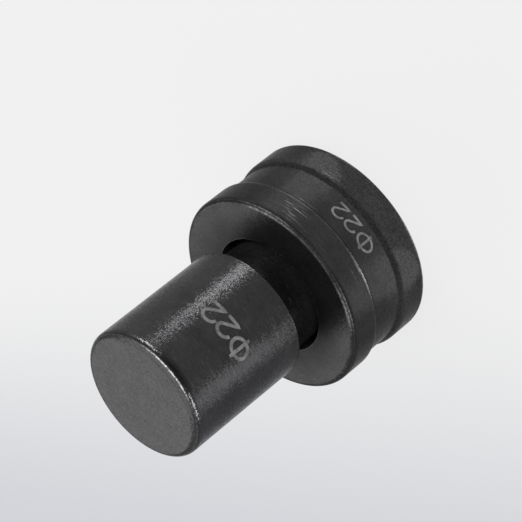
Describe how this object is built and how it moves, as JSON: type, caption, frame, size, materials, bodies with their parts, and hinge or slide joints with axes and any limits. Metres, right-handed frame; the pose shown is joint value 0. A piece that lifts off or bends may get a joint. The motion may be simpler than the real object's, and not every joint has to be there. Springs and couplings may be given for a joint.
{
  "type": "knockout punch and die",
  "caption": "Turned steel punch with a plain tail and a relieved neck, standing with its nose in the bore of a round grooved die ring.",
  "frame": {"origin": "centre of the die's back face, where the die and the punch's nose stand", "axes": "+Z along the turning axis, from the die's back towards the punch's tail; the part is round, so X and Y are free"},
  "size_m": [0.0377, 0.0376, 0.0502],
  "materials": {
    "die_steel": "satin black oxide over turned and ground steel",
    "punch_steel": "satin black oxide over turned and ground steel"
  },
  "bodies": {
    "die": {"die": "die_steel"},
    "punch": {"punch": "punch_steel"}
  },
  "joints": [
    {"name": "punch_stroke", "type": "slide", "parent": "die", "child": "punch", "axis": [0, 0, 1], "range_m": [-0.0061, 0.03]}
  ]
}
